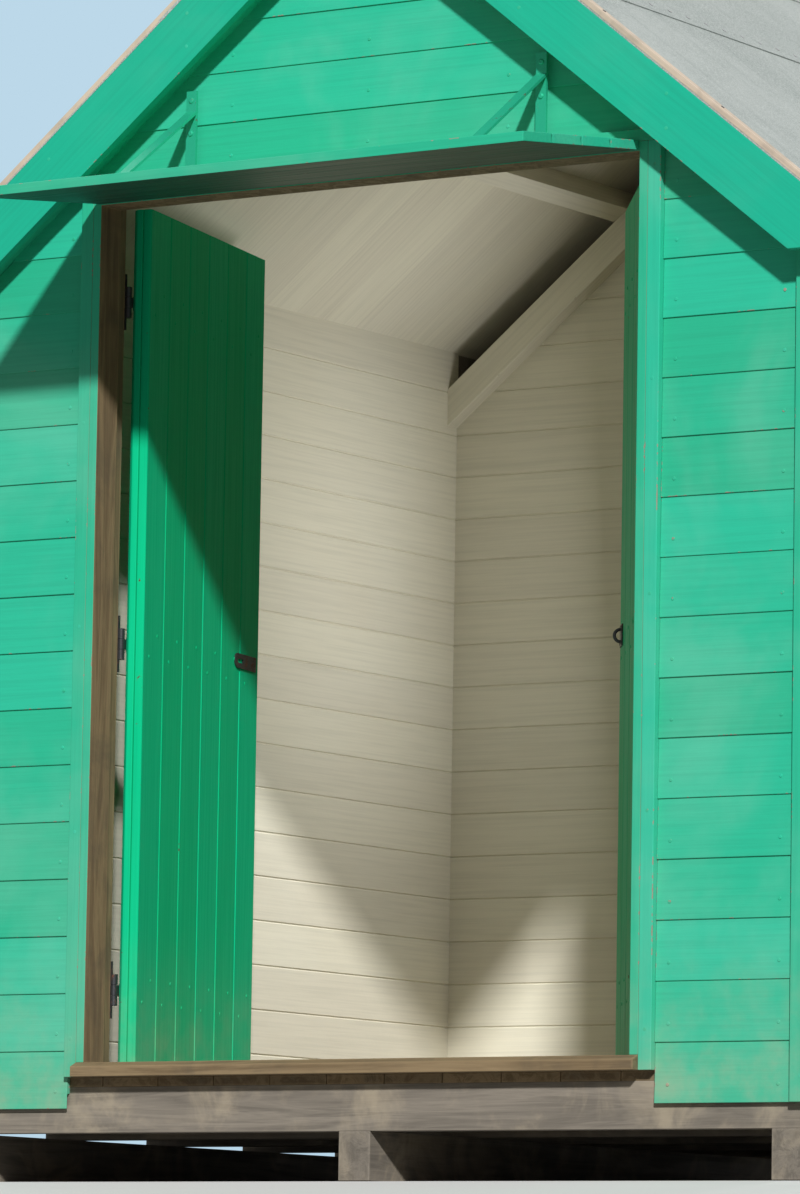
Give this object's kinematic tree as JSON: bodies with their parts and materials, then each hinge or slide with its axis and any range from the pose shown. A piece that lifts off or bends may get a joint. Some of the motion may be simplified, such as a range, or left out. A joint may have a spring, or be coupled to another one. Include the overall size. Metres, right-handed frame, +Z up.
{
  "type": "beach hut",
  "caption": "Small timber beach hut on bearers, with weatherboarded walls, a felted gable roof, a pair of inward-opening framed, ledged and braced doors and a rain hood.",
  "frame": {"origin": "on the level ground under the hut, at the middle of its overall width and depth, hood included", "axes": "+Z up, the doors face -Y, +X is to the right of someone facing the doors"},
  "size_m": [2.416, 2.48, 2.8137],
  "materials": {
    "green_painted_timber": "sea green oil paint, brushed, lightly weathered, satin",
    "door_green_timber": "deeper green oil paint on the door boards, satin",
    "cream_painted_timber": "cream paint, matt",
    "bare_timber": "bare softwood, browned and worn",
    "weathered_timber": "untreated softwood, silvered",
    "roofing_felt": "pale grey mineral-faced bitumen felt, rough",
    "ironwork": "black japanned iron, worn at the edges"
  },
  "bodies": {
    "hut": {"front_wall_left": "green_painted_timber", "front_wall_right": "green_painted_timber", "front_gable": "green_painted_timber", "back_wall": "green_painted_timber", "side_wall_left": "green_painted_timber", "side_wall_right": "green_painted_timber", "corner_boards": "green_painted_timber", "bargeboard_front_left": "green_painted_timber", "bargeboard_front_right": "green_painted_timber", "bargeboard_back_left": "green_painted_timber", "bargeboard_back_right": "green_painted_timber", "eaves_board_left": "green_painted_timber", "eaves_board_right": "green_painted_timber", "barge_packers_front": "green_painted_timber", "barge_packers_back": "green_painted_timber", "hood_board": "green_painted_timber", "hood_brackets": "green_painted_timber", "ridge_board": "cream_painted_timber", "purlins": "cream_painted_timber", "back_rafters": "cream_painted_timber", "roof_boards_left": "cream_painted_timber", "roof_boards_right": "cream_painted_timber", "door_post_left": "bare_timber", "door_post_right": "bare_timber", "door_head": "bare_timber", "door_stops": "bare_timber", "threshold": "bare_timber", "floor_deck": "bare_timber", "verge_strips": "bare_timber", "bearers": "weathered_timber", "floor_joists": "weathered_timber", "felt_left": "roofing_felt", "felt_right": "roofing_felt", "ridge_cap": "roofing_felt", "hinge_plates_left": "ironwork", "hinge_plates_right": "ironwork"},
    "left_door": {"door_left_boards": "door_green_timber", "door_left_ledges": "door_green_timber", "door_left_straps": "ironwork", "door_left_hasp": "ironwork"},
    "right_door": {"door_right_boards": "door_green_timber", "door_right_ledges": "door_green_timber", "door_right_straps": "ironwork", "door_right_bolts": "ironwork", "door_right_staple": "ironwork"}
  },
  "joints": [
    {"name": "left_door_hinge", "type": "hinge", "parent": "hut", "child": "left_door", "pos_m": [-0.6775, -0.672, 1.1], "axis": [0, 0, 1], "range_deg": [-103, 4]},
    {"name": "right_door_hinge", "type": "hinge", "parent": "hut", "child": "right_door", "pos_m": [0.6775, -0.672, 1.1], "axis": [0, 0, -1], "range_deg": [-54, 53]}
  ]
}
